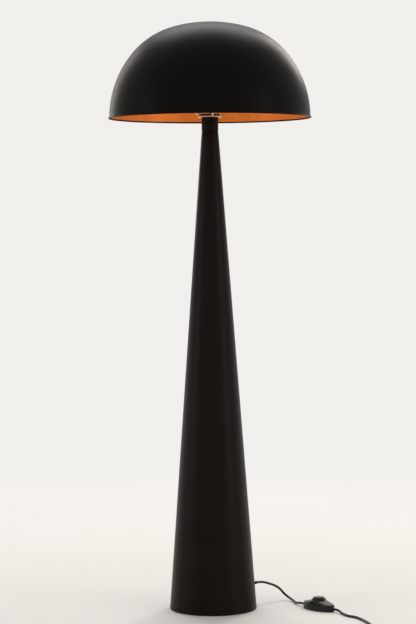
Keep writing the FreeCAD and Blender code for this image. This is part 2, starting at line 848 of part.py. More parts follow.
def make_cords():
    tip = gland_point(number(S.gland_flange + S.gland_snout + S.wall_sag))
    mouth_in = in_switch(-number(switch_mouth), 0, number(S.switch_split))
    mouth_out = in_switch(number(switch_mouth), 0, number(S.switch_split))
    ahead = switch_spin.multVec(V(1, 0, 0)) * STRAIGHT_OUT

    lead = [tip, tip + gland_way * STRAIGHT_OUT]
    lead += [V(*point) for point in LEAD_ROUTE] + [mouth_in - ahead, mouth_in]
    sub_part(sweep("cord_lead", rounded_route("cord_lead", lead), S.cord_diameter), "cord_lead")

    turns = number(S.coil_turns)
    edges, spots, headings = wound(coil_point, turns, 4)
    straight = number(S.cord_diameter)
    enter = spots[0] - headings[0] * straight
    leave = spots[-1] + headings[-1] * straight
    edges = (
        [Part.LineSegment(enter, spots[0]).toShape()]
        + edges
        + [Part.LineSegment(spots[-1], leave).toShape()]
    )
    sub_part(sweep("cord_coil", edges, S.cord_diameter), "cord_coil")
    inmost = min(math.hypot(p.x - coil_middle.x, p.y - coil_middle.y) for p in spots)
    print(f"cord_coil: least gap {least_gap(edges, turns, straight):.2f}, inmost radius {inmost:.1f}")

    run = [mouth_out, mouth_out + ahead] + [V(*point) for point in RUN_ROUTE]
    run += [enter - headings[0] * STRAIGHT_OUT, enter]
    sub_part(sweep("cord_run", rounded_route("cord_run", run), S.cord_diameter), "cord_run")

    plug_mouth = in_plug(-number(S.plug_grip), 0, 0)
    plug_back = plug_spin.multVec(V(-1, 0, 0)) * STRAIGHT_OUT
    tail = [leave, leave + headings[-1] * STRAIGHT_OUT] + [V(*point) for point in TAIL_ROUTE]
    tail += [plug_mouth + plug_back, plug_mouth]
    sub_part(sweep("cord_tail", rounded_route("cord_tail", tail), S.cord_diameter), "cord_tail")


holder_bottom = (
    S.column_top_height + S.spacer_thickness + S.cover_floor + S.nut_height + S.washer_thickness
)
holder_split = holder_bottom + S.holder_cap_height
holder_top = holder_split + S.holder_shell_height
insert_bottom = holder_split - S.insert_inset
insert_top = insert_bottom + S.insert_height
contact_top = insert_top + S.contact_height
core_beside = (S.core_diameter + S.core_gap) / 2
nipple_top = holder_bottom + S.nipple_above


def make_inner_cable():
    """The cord goes on inside the column, from the gland up through the threaded tube."""
    inner_end = gland_point(number(S.gland_flange + S.gland_snout + S.wall_sag))
    level = gland_point(-number(S.gland_shank + S.cable_straight))
    axis_start = V(0, 0, level.z - number(S.cable_drop))
    top = V(0, 0, number(nipple_top + S.cable_above))
    toward = (axis_start - level).normalize()
    turn = toward.getAngle(UP) / 2
    bend = number(S.cable_bend)
    reach = bend * math.tan(turn)
    enter = axis_start - toward * reach
    leave = axis_start + UP * reach
    inward = (UP - toward).normalize()
    middle = axis_start + inward * (bend / math.cos(turn) - bend)
    back = gland_way * -1
    knee = biarc(level, back, enter, toward)
    edges = [Part.LineSegment(inner_end, level).toShape()] + knee
    edges += [Part.Arc(enter, middle, leave).toShape(), Part.LineSegment(leave, top).toShape()]
    sub_part(sweep("inner_cable", edges, S.cord_diameter), "inner_cable")


# ---------------------------------------------------------------- neck and lampholder


def make_neck():
    through = S.nipple_diameter / 2 + S.nipple_clearance
    cap_under = S.column_top_height - S.cap_thickness
    nipple = ring(
        "nipple",
        S.nipple_bore / 2,
        S.nipple_diameter / 2,
        cap_under - S.nipple_below,
        nipple_top,
    )
    sub_part(nipple, "threaded_tube")
    washer = ring(
        "washer", through, S.washer_diameter / 2, cap_under - S.washer_thickness, cap_under
    )
    cover_bottom = S.column_top_height + S.spacer_thickness
    upper_washer = ring(
        "washer",
        through,
        S.washer_diameter / 2,
        cover_bottom + S.cover_floor,
        cover_bottom + S.cover_floor + S.washer_thickness,
    )
    sub_part(group([washer, upper_washer]), "neck_washers")
    lower_nut = hexagon_nut(
        "nut", S.nut_width, through, S.nut_height, cap_under - S.washer_thickness - S.nut_height
    )
    upper_nut = hexagon_nut(
        "nut", S.nut_width, through, S.nut_height, holder_bottom - S.nut_height
    )
    sub_part(group([lower_nut, upper_nut]), "neck_nuts")
    spacer = ring("spacer", through, S.spacer_diameter / 2, S.column_top_height, cover_bottom)
    sub_part(spacer, "seam_ring")
    cover_outer = S.cover_diameter / 2
    cover = turned(
        "cover",
        [
            (through, cover_bottom),
            (cover_outer, cover_bottom),
            (cover_outer, cover_bottom + S.cover_height),
            (cover_outer - S.cover_wall, cover_bottom + S.cover_height),
            (cover_outer - S.cover_wall, cover_bottom + S.cover_floor),
            (through, cover_bottom + S.cover_floor),
        ],
    )
    sub_part(cover, "socket_cover")


def make_lampholder():
    outer = S.holder_diameter / 2
    inner = outer - S.holder_wall
    collar = S.nipple_diameter / 2 + S.nipple_clearance
    floor = holder_bottom + S.holder_floor
    foot = outer - S.holder_taper
    taper_top = holder_bottom + S.holder_taper_height
    cap = turned(
        "holder_cap",
        [
            (collar, holder_bottom),
            (foot, holder_bottom),
            (outer, taper_top),
            (outer, holder_split),
            (inner, holder_split),
            (inner, taper_top + S.holder_wall / 2),
            (foot - S.holder_wall / 2, floor),
            (collar, floor),
        ],
    )
    sub_part(cap, "holder_cap")
    shell = ring("holder_shell", inner, outer, holder_split, holder_top)
    sub_part(shell, "holder_shell")
    tail_hole = S.contact_tail_diameter / 2 + S.insert_clearance
    insert = ring("insert", tail_hole, inner - S.insert_clearance, insert_bottom, insert_top)
    sub_part(insert, "holder_insert")
    shell_inner = S.cap_shell_bore / 2
    screw_shell = turned(
        "screw_shell",
        [
            (shell_inner - S.cap_shell_flange, insert_top),
            (shell_inner + S.cap_shell_wall, insert_top),
            (shell_inner + S.cap_shell_wall, insert_top + S.cap_shell_height),
            (shell_inner, insert_top + S.cap_shell_height),
            (shell_inner, insert_top + S.cap_shell_wall),
            (shell_inner - S.cap_shell_flange, insert_top + S.cap_shell_wall),
        ],
    )
    sub_part(screw_shell, "screw_shell")
    contact = ring("contact", 0, S.contact_diameter / 2, insert_top, contact_top)
    tail_end = insert_bottom - S.contact_tail
    tail = ring("contact_tail", 0, S.contact_tail_diameter / 2, tail_end, insert_top)
    sub_part(fuse(contact, tail), "centre_contact")

    width = number(S.terminal_width)
    spacing = number(S.terminal_spacing) / 2
    terminal_bottom = insert_bottom - S.terminal_height
    blocks = []
    screws = []
    for side in SIDES:
        corner = V(side * spacing - width / 2, -width / 2, number(terminal_bottom))
        block = box(S.terminal_width, S.terminal_width, S.terminal_height, corner)
        middle = number(terminal_bottom + S.terminal_height / 2)
        hole = cylinder(
            S.terminal_screw_diameter / 2 + S.bore_clearance,
            S.terminal_width / 2,
            V(side * spacing, -width / 2, middle),
            V(0, 1, 0),
        )
        blocks.append(cut(block, hole))
        screws.append(
            cylinder(
                S.terminal_screw_diameter / 2,
                S.terminal_width / 2,
                V(side * spacing, -width / 2 - number(S.terminal_screw_proud), middle),
                V(0, 1, 0),
            )
        )
    sub_part(group(blocks), "holder_terminals")
    sub_part(group(screws), "terminal_screws")

    cores = []
    straight = V(0, 0, number(S.core_straight))
    for side in SIDES:
        start = V(side * number(core_beside), 0, number(nipple_top + S.cable_above))
        end = V(side * spacing, 0, number(terminal_bottom - S.bore_clearance))
        edges = [Part.LineSegment(start, start + straight).toShape()]
        edges += biarc(start + straight, UP, end - straight, UP)
        edges.append(Part.LineSegment(end - straight, end).toShape())
        cores.append(sweep("core", edges, S.core_diameter))
    sub_part(group(cores), "holder_cores")


# ---------------------------------------------------------------- shade and its carrier

ring_bottom = S.column_top_height + S.spacer_thickness + S.cover_height
dome_centre = ring_bottom - S.rim_drop + S.hem_radius
side_radius = S.shade_diameter / 2 - S.hem_proud
shoulder_offset = side_radius - S.shoulder_radius
shoulder_x = shoulder_offset * cosine(S.side_angle)
shoulder_z = dome_centre + shoulder_offset * sine(S.side_angle)
crown_radius = S.shoulder_radius + shoulder_x / cosine(S.shoulder_angle)
crown_z = shoulder_z - (crown_radius - S.shoulder_radius) * sine(S.shoulder_angle)


def dome_arcs(inset, foot):
    """Corner points of the dome's three arcs, moved inwards, from foot above the rim's middle."""
    side = side_radius - inset
    shoulder = S.shoulder_radius - inset
    crown = crown_radius - inset
    points = [
        (root(side * side - foot * foot), dome_centre + foot),
        (side * cosine(S.side_angle), dome_centre + side * sine(S.side_angle)),
        (
            shoulder_x + shoulder * cosine(S.shoulder_angle),
            shoulder_z + shoulder * sine(S.shoulder_angle),
        ),
        (0, crown_z + crown),
    ]
    return points, [side, shoulder, crown]


def dome_skin(name, inset, wall, foot):
    outer, outer_radii = dome_arcs(inset, foot)
    inner, inner_radii = dome_arcs(inset + wall, foot)
    arcs = {i: (radius, 1) for i, radius in enumerate(outer_radii)}
    back = len(outer)
    for i, radius in enumerate(reversed(inner_radii)):
        arcs[back + i] = (radius, -1)
    return turned(name, outer + inner[::-1], arcs)


def make_shade():
    sheet_metal = dome_skin("dome", as_size(0), S.shade_wall, as_size(0))
    hem = doc.addObject("Part::Torus", "hem")
    bind(hem, "Radius1", S.shade_diameter / 2 - S.hem_radius)
    bind(hem, "Radius2", S.hem_radius)
    bind(hem, "Placement.Base.z", dome_centre)
    sub_part(fuse(sheet_metal, hem), "shade_shell")
    lining = dome_skin("lining", S.shade_wall + S.lining_gap, S.lining_wall, S.hem_radius)
    sub_part(lining, "shade_lining")


arm_turns = [number(S.arm_azimuth) + 120 * i for i in range(3)]
arm_tilt = FreeCAD.Rotation(V(0, 1, 0), 90 - number(S.arm_angle))
arm_start_radius = S.ring_diameter / 2 - S.arm_diameter / 3
ring_top = ring_bottom + S.ring_thickness
arm_start_height = ring_top + S.arm_diameter / 2 * cosine(S.arm_angle) + S.arm_lift


def arm_reach():
    """Length along an arm's axis from its foot to the lining."""
    across = arm_start_radius - shoulder_x
    up = arm_start_height - shoulder_z
    inside = S.shoulder_radius - S.shade_wall - S.lining_gap - S.lining_wall
    along = across * cosine(S.arm_angle) + up * sine(S.arm_angle)
    return root(along * along - across * across - up * up + inside * inside) - along


def make_carrier():
    bore = S.holder_diameter / 2 + S.ring_clearance
    carrier = ring("carrier", bore, S.ring_diameter / 2, ring_bottom, ring_top)
    sub_part(carrier, "carrier_ring")
    clamp_top = ring_top + S.clamp_ring_height
    clamp = ring("clamp", bore, S.clamp_ring_diameter / 2, ring_top, clamp_top)
    sub_part(clamp, "clamp_ring")
    lock_radius = S.lock_ring_diameter / 2
    lock = turned(
        "lock",
        [
            (bore, clamp_top),
            (S.lock_flange_diameter / 2, clamp_top),
            (S.lock_flange_diameter / 2, clamp_top + S.lock_flange),
            (lock_radius, clamp_top + S.lock_flange),
            (lock_radius, clamp_top + S.lock_ring_height),
            (bore, clamp_top + S.lock_ring_height),
        ],
    )
    sub_part(lock, "lock_ring")

    arm_length = arm_reach() - S.pad_thickness - S.seat_gap
    arms = []
    pads = []
    for azimuth in arm_turns:
        turn = spin(azimuth).multiply(arm_tilt)
        foot = around(azimuth, number(arm_start_radius), number(arm_start_height))
        along = turn.multVec(UP)
        arms.append(cylinder(S.arm_diameter / 2, arm_length, foot, along))
        pad_foot = foot + along * number(arm_length)
        pads.append(cylinder(S.pad_diameter / 2, S.pad_thickness, pad_foot, along))
    sub_part(group(arms), "carrier_arms")
    sub_part(group(pads), "arm_pads")


# ---------------------------------------------------------------- bulb


def make_bulb():
    contact_bottom = contact_top + S.bulb_seat
    cap_bottom = contact_bottom + S.bulb_contact
    cap_top = cap_bottom + S.bulb_cap_height
    collar_top = cap_top + S.bulb_collar_height
    cap_radius = S.bulb_cap_diameter / 2
    collar_radius = S.bulb_collar_diameter / 2
    contact = turned(
        "contact",
        [
            (0, contact_bottom),
            (S.bulb_contact_tip / 2, contact_bottom),
            (S.bulb_contact_root / 2, cap_bottom),
            (0, cap_bottom),
        ],
    )
    sub_part(contact, "bulb_contact")
    cap = turned(
        "bulb_cap",
        [
            (0, cap_bottom),
            (S.bulb_cap_foot / 2, cap_bottom),
            (cap_radius, cap_bottom + S.bulb_cap_taper),
            (cap_radius, cap_top),
            (0, cap_top),
        ],
    )
    sub_part(cap, "bulb_cap")
    collar = turned(
        "collar",
        [
            (0, cap_top),
            (cap_radius - S.bulb_step, cap_top),
            (collar_radius, collar_top),
            (0, collar_top),
        ],
    )
    sub_part(collar, "bulb_collar")
    globe_radius = S.bulb_diameter / 2
    globe_top = contact_bottom + S.bulb_height
    globe_middle = globe_top - globe_radius
    waist = collar_radius - S.bulb_step
    meet = globe_middle - globe_radius * sine(S.globe_angle)
    meet_radius = globe_radius * cosine(S.globe_angle)
    globe = turned(
        "globe",
        [
            (0, collar_top),
            (waist, collar_top),
            (meet_radius, meet),
            (globe_radius, globe_middle),
            (0, globe_top),
        ],
        {2: (globe_radius, 1), 3: (globe_radius, 1)},
    )
    sub_part(globe, "bulb_globe")


# ---------------------------------------------------------------- foot switch


def oval(half_length, half_width, height):
    """An oval outline at a height."""
    edge = doc.addObject("Part::Ellipse", "oval")
    bind(edge, "MajorRadius", half_length)
    bind(edge, "MinorRadius", half_width)
    bind(edge, "Placement.Base.z", height)
    return edge


def ruled(*ovals):
    """A solid with straight sides from one outline to the next."""
    loft = doc.addObject("Part::Loft", "loft")
    loft.Sections = list(ovals)
    loft.Solid = True
    loft.Ruled = True
    return loft


switch_half = S.switch_length / 2
switch_side = S.switch_width / 2
brim_height = S.switch_split + S.switch_brim
shoulder_height = brim_height + S.switch_shoulder
collar_foot = S.switch_collar_height - S.switch_collar_rise
cover_under = S.switch_collar_height - S.switch_wall
button_top = S.switch_collar_height + S.button_rise
button_bottom = cover_under - S.bore_clearance - S.button_flange
spring_seat = S.switch_split + S.seat_height
spring_top = button_top - S.button_head
block_end = (S.button_diameter + S.contact_thickness) / 2 - S.blade_inset + S.terminal_width
POSTS = ((S.post_x, -S.post_y), (-S.post_x, -S.post_y))


def upright(radius, bottom, top, x=0, y=0):
    """An upright pin of the switch, in the switch's own frame."""
    pin = cylinder(radius, as_size(top) - bottom)
    bind(pin, "Placement.Base.x", x)
    bind(pin, "Placement.Base.y", y)
    bind(pin, "Placement.Base.z", bottom)
    return pin


def cord_mouths():
    """Holes for the grommets in both ends, half in the base and half in the cover."""
    depth = S.grommet_reach + BEYOND
    start = number(switch_half - depth)
    radius = S.grommet_diameter / 2 + S.bore_clearance
    height = number(S.switch_split)
    return group(
        [cylinder(radius, 2 * depth, V(side * start, 0, height), V(side, 0, 0)) for side in SIDES]
    )


def screw_bores(bottom, top):
    radius = S.switch_screw_diameter / 2 + S.bore_clearance
    return group([upright(radius, bottom, top, x, y) for x, y in POSTS])


def make_switch_base():
    foot = S.switch_foot_inset
    bottom = ruled(
        oval(switch_half - foot, switch_side - foot, 0),
        oval(switch_half, switch_side, S.switch_foot_rise),
        oval(switch_half, switch_side, S.switch_split),
    )
    inner_half = switch_half - S.switch_wall
    inner_side = switch_side - S.switch_wall
    hollow = ruled(
        oval(inner_half, inner_side, S.switch_wall),
        oval(inner_half, inner_side, S.switch_split + BEYOND),
    )
    tray = cut(bottom, hollow)
    for x, y in POSTS:
        tray = fuse(tray, upright(S.post_diameter / 2, S.switch_wall / 2, S.switch_split, x, y))
    guide = upright(S.spring_diameter / 2 + S.seat_margin, S.switch_wall / 2, spring_seat)
    tray = fuse(tray, guide)
    stem_radius = S.stem_diameter / 2 + S.bore_clearance
    stem_bore = upright(stem_radius, S.switch_wall, spring_seat + BEYOND)
    head_recess = S.switch_screw_head / 2 + S.bore_clearance
    recesses = [upright(head_recess, -BEYOND, S.screw_head_depth, x, y) for x, y in POSTS]
    bores = screw_bores(-BEYOND, S.switch_split + BEYOND)
    base = cut(tray, stem_bore, cord_mouths(), bores, group(recesses))
    sub_part(base, "switch_base", switch_middle, switch_spin)


def cover_outside():
    """The outside of the cover, filled: an oval that slopes up to a round collar."""
    collar = S.switch_collar_diameter / 2
    inset = S.switch_shoulder_inset
    return ruled(
        oval(switch_half, switch_side, S.switch_split),
        oval(switch_half, switch_side, brim_height),
        oval(switch_half - inset, switch_side - inset, shoulder_height),
        oval(collar + S.switch_flare, collar + S.switch_flare, collar_foot - S.switch_flare_rise),
        oval(collar, collar, collar_foot),
        oval(collar, collar, S.switch_collar_height),
    )


def make_switch_cover():
    wall = S.switch_wall
    inset = S.switch_shoulder_inset + wall
    collar = S.switch_collar_diameter / 2 - wall / 2
    slope = S.switch_collar_diameter / 2 + S.switch_flare - wall
    hollow = ruled(
        oval(switch_half - wall, switch_side - wall, S.switch_split - BEYOND),
        oval(switch_half - wall, switch_side - wall, brim_height - wall / 2),
        oval(switch_half - inset, switch_side - inset, shoulder_height - wall),
        oval(slope, slope, collar_foot - S.switch_flare_rise - wall),
        oval(collar, collar, collar_foot - wall),
        oval(collar, collar, cover_under),
    )
    shell = cut(cover_outside(), hollow)
    for x, y in POSTS:
        post = upright(S.post_diameter / 2, S.switch_split, cover_under, x, y)
        shell = fuse(shell, common(post, cover_outside()))
    opening = upright(
        S.button_diameter / 2 + S.button_clearance,
        cover_under - BEYOND,
        S.switch_collar_height + BEYOND,
    )
    bores = screw_bores(S.switch_split - BEYOND, brim_height + S.screw_room)
    cover = cut(shell, opening, cord_mouths(), bores)
    sub_part(cover, "switch_cover", switch_middle, switch_spin)


def make_button():
    radius = S.button_diameter / 2
    inner = radius - S.switch_wall
    stem = S.stem_diameter / 2
    stem_bottom = S.switch_wall + S.button_travel + S.stem_room
    rise = S.button_crown
    crown_arc = (radius * radius + rise * rise) / (2 * rise)
    button = turned(
        "button",
        [
            (0, stem_bottom),
            (stem, stem_bottom),
            (stem, spring_top),
            (inner, spring_top),
            (inner, button_bottom),
            (radius + S.button_lip, button_bottom),
            (radius + S.button_lip, button_bottom + S.button_flange),
            (radius, button_bottom + S.button_flange),
            (radius, button_top - rise),
            (0, button_top),
        ],
        {8: (crown_arc, 1)},
    )
    sub_part(button, "switch_button", switch_middle, switch_spin)
    bridge = ring(
        "bridge",
        inner - S.bridge_inset,
        radius + S.button_lip - S.bridge_inset,
        button_bottom - S.contact_thickness,
        button_bottom,
    )
    sub_part(bridge, "switch_bridge", switch_middle, switch_spin)

    wire = number(S.spring_wire)
    low = number(spring_seat + S.spring_play) + wire / 2
    climb = number(spring_top - S.spring_play) - wire / 2 - low
    turns = number(S.spring_turns)

    def spring_point(turn):
        return around(360 * turn, number(S.spring_diameter) / 2, low + climb * turn / turns)

    edges, spots, headings = wound(spring_point, turns, 2)
    first = Part.LineSegment(spots[0] - headings[0] * wire, spots[0]).toShape()
    last = Part.LineSegment(spots[-1], spots[-1] + headings[-1] * wire).toShape()
    spring = sweep("switch_spring", [first] + edges + [last], S.spring_wire)
    print(f"switch_spring: least gap {least_gap(edges, turns, wire):.2f}")
    sub_part(spring, "switch_spring", switch_middle, switch_spin)


def make_switch_contacts():
    """Two fixed blades with terminals; the bridge under the button joins them when pressed."""
    blade_x = S.button_diameter / 2 - S.blade_inset
    blade_top = button_bottom - S.contact_thickness - S.button_travel - S.bore_clearance
    block_top = S.switch_wall + S.block_height
    screw_foot = block_top - S.block_screw_depth
    screw_radius = S.terminal_screw_diameter / 2
    width = number(S.contact_width)
    floor = number(S.switch_wall)
    contacts = []
    screws = []
    for side in SIDES:
        middle = side * number(blade_x)
        thickness = number(S.contact_thickness)
        blade = box(
            S.contact_thickness,
            S.contact_width,
            blade_top - S.switch_wall,
            V(middle - thickness / 2, -width / 2, floor),
        )
        inner = middle + side * thickness / 2
        start = inner if side > 0 else inner - number(S.terminal_width)
        corner = V(start, -width / 2, floor)
        block = box(S.terminal_width, S.contact_width, S.block_height, corner)
        hole_x = start + number(S.terminal_width) / 2
        hole = upright(screw_radius + S.bore_clearance, screw_foot, block_top + BEYOND, hole_x)
        contacts.append(cut(fuse(blade, block), hole))
        screws.append(upright(screw_radius, screw_foot, block_top + S.block_screw_proud, hole_x))
    sub_part(group(contacts), "switch_contacts", switch_middle, switch_spin)
    sub_part(group(screws), "switch_terminal_screws", switch_middle, switch_spin)


# Route of the cores in the switch: straight ends, the bends, how far out these lie, and
# how far the cores stay above the switch's floor.
CORE_END = 4
CORE_BEND = 14
CORE_SPREAD = 0.62
CORE_LIFT = 1.4


def make_switch_fittings():
    reach = S.grommet_reach
    length = number(S.grommet_proud + reach)
    start = number(switch_half) - number(reach)
    grommets = []
    sheaths = []
    for side in SIDES:
        sleeve = turned(
            "grommet",
            [
                (cord_bore, 0),
                (S.grommet_diameter / 2, 0),
                (S.grommet_diameter / 2, reach + S.grommet_collar),
                (cord_bore + S.grommet_lip, reach + S.grommet_proud),
                (cord_bore, reach + S.grommet_proud),
            ],
        )
        place = V(side * start, 0, number(S.switch_split))
        turn = FreeCAD.Rotation(UP, V(side, 0, 0))
        sleeve.Placement = FreeCAD.Placement(place, turn)
        grommets.append(sleeve)
        sheaths.append(
            cylinder(
                cord_radius,
                S.grommet_proud + reach + S.sheath_inside,
                place - V(side * number(S.sheath_inside), 0, 0),
                V(side, 0, 0),
            )
        )
    sub_part(group(grommets), "switch_grommets", switch_middle, switch_spin)
    sub_part(group(sheaths), "switch_inner_cord", switch_middle, switch_spin)

    inner_end = start - number(S.sheath_inside)
    split = number(S.switch_split)
    beside = number(core_beside)
    low = number(S.switch_wall + S.core_diameter / 2) + CORE_LIFT
    cores = []
    for side in SIDES:
        points = [
            V(side * inner_end, -beside, split),
            V(side * (inner_end - CORE_END), -beside, split),
            V(side * (number(block_end) + CORE_END), 0, low),
            V(side * number(block_end), 0, low),
        ]
        cores.append(sweep("core", rounded_route("core", points), S.core_diameter))
    outward = number(switch_side - 2 * S.switch_wall - S.core_diameter)
    through = [V(-inner_end, beside, split), V(CORE_END - inner_end, beside, split)]
    through.append(V(CORE_BEND - inner_end, outward * CORE_SPREAD, low))
    through.append(V(0, outward, low))
    through += [V(-point.x, point.y, point.z) for point in through[2::-1]]
    cores.append(sweep("core", rounded_route("core", through), S.core_diameter))
    sub_part(group(cores), "switch_cores", switch_middle, switch_spin)

    head = S.switch_screw_head / 2
    screws = []
    for x, y in POSTS:
        shank = upright(S.switch_screw_diameter / 2, S.screw_head_depth, brim_height, x, y)
        screws.append(fuse(shank, upright(head, S.screw_sunk, S.screw_head_depth, x, y)))
    sub_part(group(screws), "switch_screws", switch_middle, switch_spin)


# ---------------------------------------------------------------- plug


def make_plug():
    """Flat two-pin plug lying on its broad side, pins along its own +X."""
    body = new_body("plug")
    sketch = sketch_in(body, "XY_Plane", -S.plug_height / 2)
    wide = S.plug_width / 2
    narrow = S.plug_neck / 2
    length = S.plug_length
    draw(
        sketch,
        [
            (0, -narrow),
            (S.plug_widest, -wide),
            (length, -wide),
            (length, wide),
            (S.plug_widest, wide),
            (0, narrow),
        ],
    )
    pad = padded(body, sketch, S.plug_height)
    doc.recompute()
    rounding = body.newObject("PartDesign::Fillet", "rounding")
    rounding.Base = pad
    rounding.UseAllEdges = True
    bind(rounding, "Radius", S.plug_edge)
    roots = []
    pins = []
    along = V(1, 0, 0)
    root_radius = S.pin_diameter / 2 - S.pin_neck
    bore = root_radius + S.bore_clearance
    pin_top = S.pin_root + S.pin_length
    for side in SIDES:
        y = side * number(S.pin_spacing) / 2
        x = number(length - S.pin_root)
        roots.append(cylinder(bore, S.pin_root + BEYOND, V(x, y, 0), along))
        pin = turned(
            "pin",
            [
                (0, 0),
                (root_radius, 0),
                (root_radius, S.pin_root),
                (S.pin_diameter / 2, S.pin_root),
                (S.pin_diameter / 2, pin_top - S.pin_nose),
                (S.pin_diameter / 2 - S.pin_nose, pin_top),
                (0, pin_top),
            ],
        )
        pin.Placement = FreeCAD.Placement(V(x, y, 0), FreeCAD.Rotation(UP, along))
        pins.append(pin)
    sub_part(cut(body, group(roots)), "plug_body", plug_middle, plug_spin)
    sub_part(group(pins), "plug_pins", plug_middle, plug_spin)
    grip = turned(
        "grip",
        [
            (0, 0),
            (S.plug_grip_diameter / 2, 0),
            (S.plug_tip_diameter / 2, S.plug_grip),
            (0, S.plug_grip),
        ],
    )
    back = plug_spin.multiply(FreeCAD.Rotation(UP, V(-1, 0, 0)))
    sub_part(grip, "plug_grip", plug_middle, back)


# ---------------------------------------------------------------- build, check and write


make_column()
make_base()
make_gland()
make_cords()
make_inner_cable()
make_neck()
make_lampholder()
make_carrier()
make_shade()
make_bulb()
make_switch_base()
make_switch_cover()
make_button()
make_switch_contacts()
make_switch_fittings()
make_plug()
doc.recompute()

for thing in doc.Objects:
    faults = [state for state in thing.State if state in ("Invalid", "Error")]
    if faults:
        raise SystemExit(f"{thing.Name} ({thing.Label}) is {', '.join(faults)}")
labels = [part.Label for part in parts]
if len(set(labels)) != len(labels):
    raise SystemExit("two sub-parts share a name")
for part in parts:
    if part.Shape.isNull() or not part.Shape.isValid():
        raise SystemExit(f"{part.Label} has no valid shape")
    if not part.Shape.Solids:
        raise SystemExit(f"{part.Label} has no solid")
for part in parts:
    part.Shape.exportStep(f"parts/{part.Label}.step")
    print(f"{part.Label}: {len(part.Shape.Solids)} solid(s), {part.Shape.Volume:.0f} mm3")
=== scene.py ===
import json
import math

import bpy
from mathutils import Matrix, Vector


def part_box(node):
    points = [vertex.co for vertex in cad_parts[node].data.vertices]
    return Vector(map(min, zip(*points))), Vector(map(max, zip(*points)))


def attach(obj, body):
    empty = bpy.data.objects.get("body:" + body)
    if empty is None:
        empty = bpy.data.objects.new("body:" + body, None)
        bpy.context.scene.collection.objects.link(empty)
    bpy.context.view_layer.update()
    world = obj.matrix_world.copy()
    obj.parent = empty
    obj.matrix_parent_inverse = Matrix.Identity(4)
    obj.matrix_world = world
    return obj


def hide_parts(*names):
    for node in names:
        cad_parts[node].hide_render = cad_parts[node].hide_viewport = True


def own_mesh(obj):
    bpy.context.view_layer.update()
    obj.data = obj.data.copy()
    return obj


# Mushroom floor lamp: the looks. Metres, in the frame of the solids: origin at the centre of
# the base on the floor, +Z up, the side that is usually looked at faces -Y. Angles are in degrees.

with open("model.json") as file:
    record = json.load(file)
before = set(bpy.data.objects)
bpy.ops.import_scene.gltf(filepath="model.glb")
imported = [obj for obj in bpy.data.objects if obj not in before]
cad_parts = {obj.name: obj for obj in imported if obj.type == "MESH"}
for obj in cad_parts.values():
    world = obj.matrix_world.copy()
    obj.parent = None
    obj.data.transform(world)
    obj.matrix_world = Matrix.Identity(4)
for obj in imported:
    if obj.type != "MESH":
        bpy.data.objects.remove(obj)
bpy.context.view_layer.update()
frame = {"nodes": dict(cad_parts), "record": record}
nodes = frame["nodes"]

STAND = "stand"
UP = Vector((0, 0, 1))


def heading(degrees):
    """The level direction at an angle from +X towards +Y."""
    angle = math.radians(degrees)
    return Vector((math.cos(angle), math.sin(angle), 0))


def new_object(name, data):
    """A new object in the scene."""
    piece = bpy.data.objects.new(name, data)
    bpy.context.scene.collection.objects.link(piece)
    return piece


# ---------------------------------------------------------------- camera

CAMERA_PLACE = (0.0, -4.85495, 0.96194)
CAMERA_PITCH = -2.6489
CAMERA_YAW = -0.0948
CAMERA_ROLL = -0.4138
CAMERA_LENS = 113.45
CAMERA_REACH = 50


def make_camera():
    """The view of the photograph: yaw and pitch of the line of sight, then roll about it."""
    pitch, yaw, roll = (math.radians(a) for a in (CAMERA_PITCH, CAMERA_YAW, CAMERA_ROLL))
    ahead = Vector((math.sin(yaw) * math.cos(pitch), math.cos(yaw) * math.cos(pitch), math.sin(pitch)))
    level = Vector((math.cos(yaw), -math.sin(yaw), 0))
    upright = level.cross(ahead)
    right = level * math.cos(roll) + upright * math.sin(roll)
    above = upright * math.cos(roll) - level * math.sin(roll)
    data = bpy.data.cameras.new("camera")
    data.lens = CAMERA_LENS
    data.clip_end = CAMERA_REACH
    camera = new_object("camera", data)
    turn = Matrix((right, above, -ahead)).transposed().to_4x4()
    camera.matrix_world = Matrix.Translation(CAMERA_PLACE) @ turn
    bpy.context.scene.camera = camera


# ---------------------------------------------------------------- cords

# The cord: its thickness, how high its middle line lies on the floor, the straight stretch at
# each end, how finely its surface is divided along and around, and its spline's order.
CORD_DIAMETER = 0.006
CORD_FLOOR = 0.0032
STRAIGHT_OUT = 0.014
CORD_STEPS = 10
CORD_ROUNDNESS = 6
CORD_ORDER = 3

# Where the cord leaves the gland, and in which direction.
GLAND_TIP = Vector((0.1095, 0.0632, 0.0516))
GLAND_WAY = Vector((0.8637, 0.4986, 0.0736)).normalized()

# The foot switch: its middle, its direction, and where the cord goes in and out at its ends.
SWITCH_MIDDLE = Vector((0.261, -0.029, 0))
SWITCH_TURN = -46.5
SWITCH_MOUTH = 0.051
SWITCH_CORD_HEIGHT = 0.008

# From the gland down to the floor and towards the switch.
LEAD_ROUTE = [
    (0.142, 0.084, 0.045),
    (0.165, 0.096, 0.034),
    (0.180, 0.096, 0.016),
    (0.196, 0.084, 0.0053),
    (0.205, 0.063, CORD_FLOOR),
    (0.206, 0.043, CORD_FLOOR),
]

# From the switch along the floor to the coil.
RUN_ROUTE = [
    (0.313, -0.091, CORD_FLOOR),
    (0.322, -0.116, CORD_FLOOR),
    (0.329, -0.128, CORD_FLOOR),
    (0.344, -0.140, CORD_FLOOR),
    (0.351, -0.155, CORD_FLOOR),
    (0.362, -0.184, CORD_FLOOR),
    (0.370, -0.216, CORD_FLOOR),
    (0.377, -0.255, CORD_FLOOR),
    (0.380, -0.285, CORD_FLOOR),
]

# The coil of the put-away length: its turns lie COIL_PITCH apart, beside and on each other.
COIL_MIDDLE = Vector((0.336, -0.324, 0))
COIL_RADIUS = 0.043
COIL_PITCH = 0.0065
COIL_TURNS = 5.25
COIL_POINTS_PER_TURN = 16
COIL_LEAD = 0.020

# From the coil down into the plug.
TAIL_ROUTE = [
    (0.300, -0.366, 0.0055),
]

